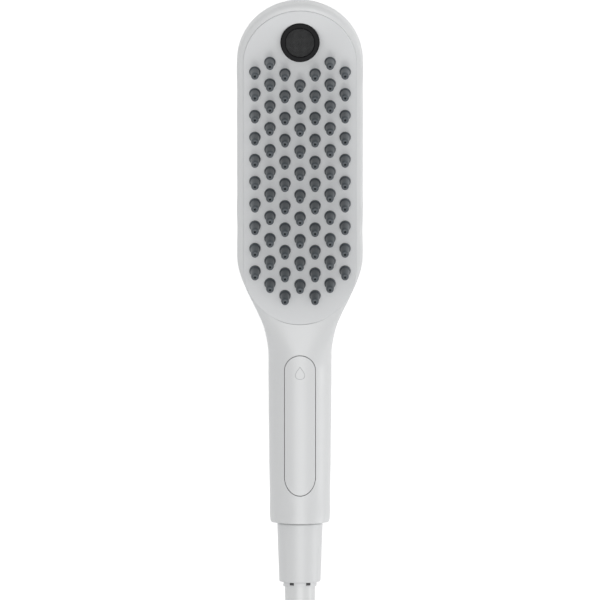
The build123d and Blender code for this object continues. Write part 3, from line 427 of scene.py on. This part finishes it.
# degrees of lean at the face's lower end and where its arc ends
LEAN_LOW, LEAN_HIGH = 16.2, 10.6
MAT_TOP, MAT_BOTTOM, MAT_INSET = 2.5, 4.0, 2.2
MAT_SIDES = (-1, -0.4, 0.4, 1)
MAT_BEND_START, MAT_BEND_POINTS, MAT_RUN_POINTS = 0.12, 12, 40
NUB_SIDES = 24
# radius and height on a nub's own axis, from its foot up, over the tip's rim and down its bore
NUB_OUTLINE = np.array([
    (2.95, -2.9), (2.95, 0.5), (2.88, 0.8), (2.64, 1.0), (2.42, 1.2), (2.36, 1.7), (2.28, 3.4),
    (2.2, 5.6), (2.12, 7.6), (2.04, 8.5), (1.87, 9.2), (1.55, 9.64), (1.12, 9.86), (0.82, 9.9),
    (0.66, 9.76), (0.6, 9.2), (0.56, 7.8),
])
SILICONE = (0.0535, 0.067, 0.079)


def face_angle(s):
    """Slope of the spray face in radians at arc length s, steady along its flat end."""
    return math.radians(FACE_START_SLOPE) + np.minimum(s, FACE_ARC) / FACE_RADIUS


def face_point(s, depth=0.0):
    """y and z of the face's centre line at arc length s: an arc, then its tangent."""
    start, angle = math.radians(FACE_START_SLOPE), face_angle(s)
    flat = np.maximum(0.0, s - FACE_ARC)
    y = FACE_START_Y + FACE_RADIUS * (np.sin(angle) - math.sin(start)) + flat * np.cos(angle)
    z = FACE_START_Z + FACE_RADIUS * (math.cos(start) - np.cos(angle)) + flat * np.sin(angle)
    return y + depth * np.sin(angle), z - depth * np.cos(angle)


def nub_places():
    """Arc length and x of every nub: staggered columns whose rows arch upwards."""
    places = []
    for column, (first, count) in enumerate(COLUMNS):
        x = column * COLUMN_PITCH
        s = FIRST_S - (column % 2) * ROW_PITCH / 2 + ARCH * (x / ARCH_HALF_WIDTH) ** 2
        rows = s + ROW_PITCH * np.arange(first, first + count)
        places += [(row, side * x) for row in rows for side in ((-1, 1) if column else (1,))]
    return np.array(places).T


def nub_grid():
    """Each nub's outline turned about its own axis, which leans back towards the handle."""
    s, x = (part[:, None, None] for part in nub_places())
    lean = np.radians(LEAN_LOW + (LEAN_HIGH - LEAN_LOW) * (s - FIRST_S) / (FACE_ARC - FIRST_S))
    radius, height = (part[:, None] for part in NUB_OUTLINE.T)
    turn = np.linspace(0, 2 * math.pi, NUB_SIDES, endpoint=False)
    across, up = radius * np.cos(turn), radius * np.sin(turn)
    y, z = face_point(s)
    return laid(x + across, y + up * np.cos(lean) - height * np.sin(lean),
                z + up * np.sin(lean) + height * np.cos(lean))


def mat_grid():
    """A band of eight points round the mat's section, carried along the face's arc."""
    end = FACE_WIDTH / 2 - MAT_INSET
    bend = end * (1 - np.cos(np.linspace(MAT_BEND_START, math.pi / 2, MAT_BEND_POINTS)))
    run = np.linspace(FACE_WIDTH / 2, FACE_ARC, MAT_RUN_POINTS)[1:-1]
    s = np.concatenate([MAT_INSET + bend, run, (FACE_LENGTH - MAT_INSET - bend)[::-1]])[:, None]
    short = np.maximum(0, end + MAT_INSET - np.minimum(s, FACE_LENGTH - s))
    half = np.sqrt(end ** 2 - short ** 2)
    side = np.array(MAT_SIDES + MAT_SIDES[::-1])
    y, z = face_point(s, np.repeat([MAT_TOP, MAT_BOTTOM], len(MAT_SIDES)))
    return laid(half * side, y, z)


silicone = plain_finish("grey_silicone", SILICONE, roughness=0.52, grain=1100.0, depth=0.00003,
                        mottle=0.06, sheen=0.25)
nubs = grid_mesh("nubs", nub_grid(), wrap_v=True, caps=True)
nub_sheet = grid_mesh("nub_sheet", mat_grid(), wrap_v=True, caps=True)
for piece in (nubs, nub_sheet):
    piece.data.materials.append(silicone)
    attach(piece, "handset")
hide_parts("nub_mat")


# ---- Jet nozzle ----
# A black ring holds a disc of fine woven wire over the jet's straightener. The ring stands
# square to the handle in the sloping face plate.
JET_S, JET_RADIUS, JET_RISE = 155.4, 10.2, 0.3
MESH_RADIUS, MESH_RECESS = 7.5, 0.75
WIRE_PITCH, WIRE_RADIUS, WIRE_WAVE = 0.60, 0.18, 0.17
WIRE_STEPS, WIRE_SIDES = 72, 6
# the share of a pitch that the outermost wires keep clear of the rim
EDGE_FREE = 0.3
BLACK = (0.008, 0.008, 0.009)
MESH_GREY = (0.062, 0.063, 0.064)


def woven_wires():
    """Wires both ways across a disc, rising and falling by a cosine over and under each other."""
    y_jet, z_jet = face_point(JET_S)
    top = z_jet + JET_RADIUS * np.tan(face_angle(JET_S)) + JET_RISE - MESH_RECESS
    count = int(MESH_RADIUS / WIRE_PITCH - EDGE_FREE)
    index = np.arange(-count, count + 1)[:, None, None]
    offset = index * WIRE_PITCH
    reach = np.sqrt(MESH_RADIUS ** 2 - offset ** 2)
    run = np.linspace(-1, 1, WIRE_STEPS)[:, None] * reach
    turn = np.linspace(0, 2 * math.pi, WIRE_SIDES, endpoint=False)
    rise = WIRE_WAVE * np.cos(math.pi * (run / WIRE_PITCH + index))
    side, height = WIRE_RADIUS * np.cos(turn), top + WIRE_RADIUS * np.sin(turn)
    run = run + 0 * turn
    warp = laid(run, y_jet + offset - side, height + rise)
    weft = laid(offset + side, y_jet + run, height - rise)
    return np.concatenate([warp, weft])


black_plastic = plain_finish("black_plastic", BLACK, roughness=0.55, mottle=0.1, specular=0.08)
jet_mesh = grid_mesh("woven_mesh", woven_wires(), wrap_v=True, caps=True)
jet_mesh.data.materials.append(plain_finish("dark_wire", MESH_GREY, roughness=0.45, metallic=0.6))
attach(jet_mesh, "handset")
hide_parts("jet_mesh")
coat_nodes(black_plastic, "jet_ring", "jet_straightener")


# ---- Painted shade in the swivel ring's slots ----
# A dark grey ring, painted shade that makes the slots read dark. It lies just under the slotted
# ring's surface and fills its slots.
SLOT_TOP_Y, SLOT_BOTTOM_Y = -32.05, -33.55
# size of the dark ring and its grey, which paint shade into the slots
SHADE_RING_OUTER, SHADE_RING_INNER, SHADE_RING_SIDES = 8.5, 7.4, 72
SLOT_SHADE_GREY = (0.10, 0.10, 0.102)


def shade_ring_grid():
    """The shade ring's rectangular section turned about the handle's axis."""
    turn = np.linspace(0, 2 * math.pi, SHADE_RING_SIDES, endpoint=False)[:, None]
    radius = np.array([SHADE_RING_OUTER, SHADE_RING_OUTER, SHADE_RING_INNER, SHADE_RING_INNER])
    y = np.array([SLOT_BOTTOM_Y, SLOT_TOP_Y, SLOT_TOP_Y, SLOT_BOTTOM_Y])
    return laid(radius * np.cos(turn), y + 0 * turn, radius * np.sin(turn))


# a dark ring that paints shade into the swivel ring's slots
slot_shade_ring = grid_mesh("slot_shade_ring", shade_ring_grid(), wrap_u=True, wrap_v=True)
slot_shade_ring.data.materials.append(
    plain_finish("slot_shade_paint", SLOT_SHADE_GREY, roughness=0.5, specular=0.3))
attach(slot_shade_ring, "hose")


# ---- Inside: seals, valve, water ways and screws, and the hose's metal ends ----
# Plain mouldings, ground ceramic discs, rubber seals, stainless steel and turned brass. Most of
# them are out of sight in the shell.
RUBBER, MOULDING, CERAMIC = (0.03, 0.03, 0.03), (0.62, 0.62, 0.60), (0.86, 0.85, 0.82)
STEEL, BRASS = (0.45, 0.45, 0.46), (0.78, 0.60, 0.30)
coat_nodes(plain_finish("black_rubber", RUBBER, roughness=0.7, mottle=0.1), "jet_oring",
           "plunger_oring", "inlet_oring", "inlet_washer", "outlet_gasket", "end_washer")
coat_nodes(plain_finish("plain_moulding", MOULDING, roughness=0.5), "chamber_tray", "valve_body",
           "valve_cap", "index_rotor", "plunger", "inlet_duct", "manifold_duct", "jet_duct",
           "inlet_nipple")
coat_nodes(plain_finish("ceramic", CERAMIC, roughness=0.22, coat=0.3), "port_disc",
           "selector_disc")
coat_nodes(plain_finish("stainless_steel", STEEL, roughness=0.42, metallic=1.0), "chamber_screws",
           "button_pin", "plunger_spring", "hose_ferrule", "end_ferrule")
coat_nodes(plain_finish("turned_brass", BRASS, roughness=0.3, metallic=1.0), "swivel_tail",
           "end_tail")


# ---- Return spring ----
# The coil under the plunger's collar, out of sight in the shell. It is a copy of the rigid one
# with a mesh of its own; the share by which the plunger's travel would shorten it is worked out
# but not applied.
PLUNGER_TRAVEL = max(JOINTS["plunger_slide"]["range_m"])
return_spring = copied("return_spring", "plunger_spring", "handset")
coil_ends = np.array([vertex.co for vertex in return_spring.data.vertices]) @ OUTWARD
1 - PLUNGER_TRAVEL / np.ptp(coil_ends)
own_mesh(return_spring)
